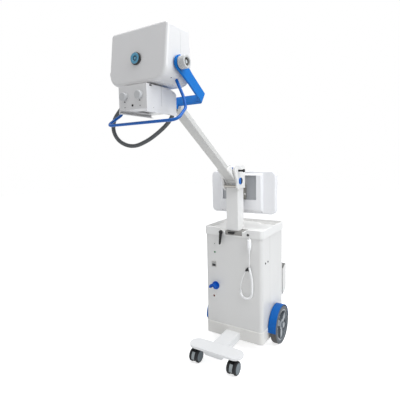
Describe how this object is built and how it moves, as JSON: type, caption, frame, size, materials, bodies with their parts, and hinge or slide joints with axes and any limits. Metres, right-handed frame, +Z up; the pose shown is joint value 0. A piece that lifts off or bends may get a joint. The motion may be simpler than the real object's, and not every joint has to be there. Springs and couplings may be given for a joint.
{
  "type": "mobile x-ray machine",
  "caption": "Wheeled cabinet with a square mast, a balanced arm, an x-ray head with collimator in a tilting fork, a console, a cassette pocket and a hand switch.",
  "frame": {"origin": "on the floor under the middle of the whole machine", "axes": "+Z up, -Y towards the tube head, +X to the machine's left seen from its front"},
  "size_m": [0.536, 1.3622, 1.7983],
  "materials": {
    "cabinet_paint": "satin",
    "lid_plastic": "satin",
    "skirt_plastic": "satin",
    "leg_paint": "satin",
    "chassis_steel": "satin",
    "mast_paint": "satin",
    "arm_paint": "satin",
    "yoke_paint": "satin",
    "head_plastic": "satin",
    "tank_metal": "satin",
    "console_plastic": "satin",
    "screen_glass": "gloss",
    "window_glass": "gloss",
    "blue_plastic": "gloss",
    "blue_tube": "gloss",
    "teal_plastic": "gloss",
    "black_plastic": "satin",
    "knob_plastic": "satin",
    "steel": "satin",
    "lead_metal": "matte",
    "wheel_rubber": "matte",
    "caster_rubber": "matte",
    "hub_plastic": "satin",
    "cord_rubber": "matte",
    "white_rubber": "matte",
    "lamp_lens": "gloss"
  },
  "bodies": {
    "base": {"base_skirt": "skirt_plastic", "chassis": "chassis_steel", "front_cover": "cabinet_paint", "rear_cover": "cabinet_paint", "top_cover": "lid_plastic", "cassette_pocket": "cabinet_paint", "power_module": "chassis_steel", "front_leg": "leg_paint", "mudguards": "blue_plastic", "column_bracket": "steel", "indicator_lamps": "lamp_lens", "cord_hook": "blue_plastic", "panel_lock": "knob_plastic", "hand_switch": "head_plastic", "lead_plug": "head_plastic", "curly_cord": "white_rubber", "upper_lead": "white_rubber", "lower_lead": "white_rubber"},
    "rocker": {"switch_rocker": "black_plastic"},
    "lever": {"clamp_lever": "black_plastic"},
    "lock": {"lock_knob": "black_plastic"},
    "button": {"exposure_button": "knob_plastic"},
    "mast": {"column": "mast_paint", "fork_cheeks": "mast_paint", "balance_spring": "steel"},
    "plunger": {"index_plunger": "black_plastic"},
    "arm": {"arm_tube": "arm_paint", "arm_root": "mast_paint"},
    "fork": {"yoke": "yoke_paint", "head_hose": "cord_rubber"},
    "knob_left": {"tilt_knob_left": "knob_plastic"},
    "knob_right": {"tilt_knob_right": "knob_plastic"},
    "head": {"head_front_shell": "head_plastic", "head_rear_shell": "head_plastic", "tube_tank": "tank_metal", "boss_cap": "teal_plastic", "handle": "blue_tube"},
    "collimator": {"collimator_housing": "head_plastic", "collimator_panel": "head_plastic", "collimator_base": "head_plastic", "collimator_window": "window_glass"},
    "dial_left": {"collimator_dial_left": "knob_plastic"},
    "dial_right": {"collimator_dial_right": "knob_plastic"},
    "field_button": {"light_button": "black_plastic"},
    "leaf_left": {"shutter_left": "lead_metal"},
    "leaf_right": {"shutter_right": "lead_metal"},
    "leaf_front": {"shutter_front": "lead_metal"},
    "leaf_back": {"shutter_back": "lead_metal"},
    "console": {"console_rear_shell": "console_plastic", "console_front_shell": "console_plastic", "console_screen": "screen_glass", "console_hinge": "steel"},
    "wheel_left": {"tyre_left": "wheel_rubber", "hub_left": "hub_plastic"},
    "wheel_right": {"tyre_right": "wheel_rubber", "hub_right": "hub_plastic"},
    "caster_left": {"caster_hood_left": "hub_plastic"},
    "caster_right": {"caster_hood_right": "hub_plastic"},
    "caster_roll_left": {"caster_wheels_left": "caster_rubber"},
    "caster_roll_right": {"caster_wheels_right": "caster_rubber"}
  },
  "joints": [
    {"name": "wheel_roll_left", "type": "hinge", "parent": "base", "child": "wheel_left", "pos_m": [-0.237, 0.44809, 0.125], "axis": [1, 0, 0], "continuous": true},
    {"name": "caster_swivel_left", "type": "hinge", "parent": "base", "child": "caster_left", "pos_m": [-0.128, -0.01991, 0.1], "axis": [0, 0, 1], "continuous": true},
    {"name": "caster_spin_left", "type": "hinge", "parent": "caster_left", "child": "caster_roll_left", "pos_m": [-0.128, -0.03191, 0.04], "axis": [1, 0, 0], "continuous": true},
    {"name": "tilt_knob_turn_left", "type": "hinge", "parent": "fork", "child": "knob_left", "pos_m": [-0.171, -0.55909, 1.64031], "axis": [1, 0, 0], "range_deg": [-90, 90]},
    {"name": "wheel_roll_right", "type": "hinge", "parent": "base", "child": "wheel_right", "pos_m": [0.237, 0.44809, 0.125], "axis": [1, 0, 0], "continuous": true},
    {"name": "caster_swivel_right", "type": "hinge", "parent": "base", "child": "caster_right", "pos_m": [0.128, -0.01991, 0.1], "axis": [0, 0, 1], "continuous": true},
    {"name": "caster_spin_right", "type": "hinge", "parent": "caster_right", "child": "caster_roll_right", "pos_m": [0.128, -0.03191, 0.04], "axis": [1, 0, 0], "continuous": true},
    {"name": "tilt_knob_turn_right", "type": "hinge", "parent": "fork", "child": "knob_right", "pos_m": [0.171, -0.55909, 1.64031], "axis": [1, 0, 0], "range_deg": [-90, 90]},
    {"name": "mast_swivel", "type": "hinge", "parent": "base", "child": "mast", "pos_m": [0, 0.27209, 0.783], "axis": [0, 0, 1], "range_deg": [-45, 45]},
    {"name": "console_tilt", "type": "hinge", "parent": "mast", "child": "console", "pos_m": [0, 0.35209, 1.012], "axis": [1, 0, 0], "range_deg": [-15, 18]},
    {"name": "arm_lift", "type": "hinge", "parent": "mast", "child": "arm", "pos_m": [0, 0.24209, 1.106], "axis": [-1, 0, 0], "range_deg": [-38, 24]},
    {"name": "plunger_pull", "type": "slide", "parent": "mast", "child": "plunger", "axis": [1, 0, 0], "range_m": [0, 0.008], "stiffness_N_per_m": 400},
    {"name": "fork_roll", "type": "hinge", "parent": "arm", "child": "fork", "pos_m": [0, -0.38105, 1.52158], "axis": [0, -0.832, 0.5548], "range_deg": [-90, 90], "deforming": ["head_hose"]},
    {"name": "head_tilt", "type": "hinge", "parent": "fork", "child": "head", "pos_m": [0, -0.55909, 1.64031], "axis": [1, 0, 0], "range_deg": [-90, 15], "deforming": ["head_hose"]},
    {"name": "collimator_turn", "type": "hinge", "parent": "head", "child": "collimator", "pos_m": [0, -0.56409, 1.55601], "axis": [0, 0, 1], "range_deg": [-90, 90]},
    {"name": "dial_turn_left", "type": "hinge", "parent": "collimator", "child": "dial_left", "pos_m": [-0.043, -0.66509, 1.51202], "axis": [0, -1, 0], "range_deg": [-60, 90]},
    {"name": "dial_turn_right", "type": "hinge", "parent": "collimator", "child": "dial_right", "pos_m": [0.039, -0.66509, 1.51202], "axis": [0, -1, 0], "range_deg": [-60, 90]},
    {"name": "leaf_slide_left", "type": "slide", "parent": "collimator", "child": "leaf_left", "axis": [-1, 0, 0], "range_m": [-0.01332, 0.01999]},
    {"name": "leaf_slide_right", "type": "slide", "parent": "collimator", "child": "leaf_right", "axis": [1, 0, 0], "range_m": [-0.01334, 0.02001]},
    {"name": "leaf_slide_front", "type": "slide", "parent": "collimator", "child": "leaf_front", "axis": [0, -1, 0], "range_m": [-0.01332, 0.01999]},
    {"name": "leaf_slide_back", "type": "slide", "parent": "collimator", "child": "leaf_back", "axis": [0, 1, 0], "range_m": [-0.01334, 0.02001]},
    {"name": "light_button_press", "type": "slide", "parent": "collimator", "child": "field_button", "axis": [0, 1, 0], "range_m": [0, 0.0015], "stiffness_N_per_m": 300},
    {"name": "exposure_press", "type": "slide", "parent": "base", "child": "button", "axis": [0, 0, -1], "range_m": [0, 0.003], "stiffness_N_per_m": 300},
    {"name": "rocker_tip", "type": "hinge", "parent": "base", "child": "rocker", "pos_m": [-0.139, 0.23109, 0.546], "axis": [1, 0, 0], "range_deg": [0, 6]},
    {"name": "lever_turn", "type": "hinge", "parent": "base", "child": "lever", "pos_m": [-0.073, 0.22459, 0.773], "axis": [0, 1, 0], "range_deg": [-25, 60]},
    {"name": "lock_turn", "type": "hinge", "parent": "base", "child": "lock", "pos_m": [-0.004, 0.22909, 0.772], "axis": [0, 1, 0], "range_deg": [-25, 25]}
  ],
  "couplings": [
    {"joint": "leaf_slide_right", "follows": "leaf_slide_left", "ratio": 1},
    {"joint": "dial_turn_left", "follows": "leaf_slide_left", "rad_per_m": 78.54},
    {"joint": "leaf_slide_back", "follows": "leaf_slide_front", "ratio": 1},
    {"joint": "dial_turn_right", "follows": "leaf_slide_front", "rad_per_m": 78.54}
  ]
}
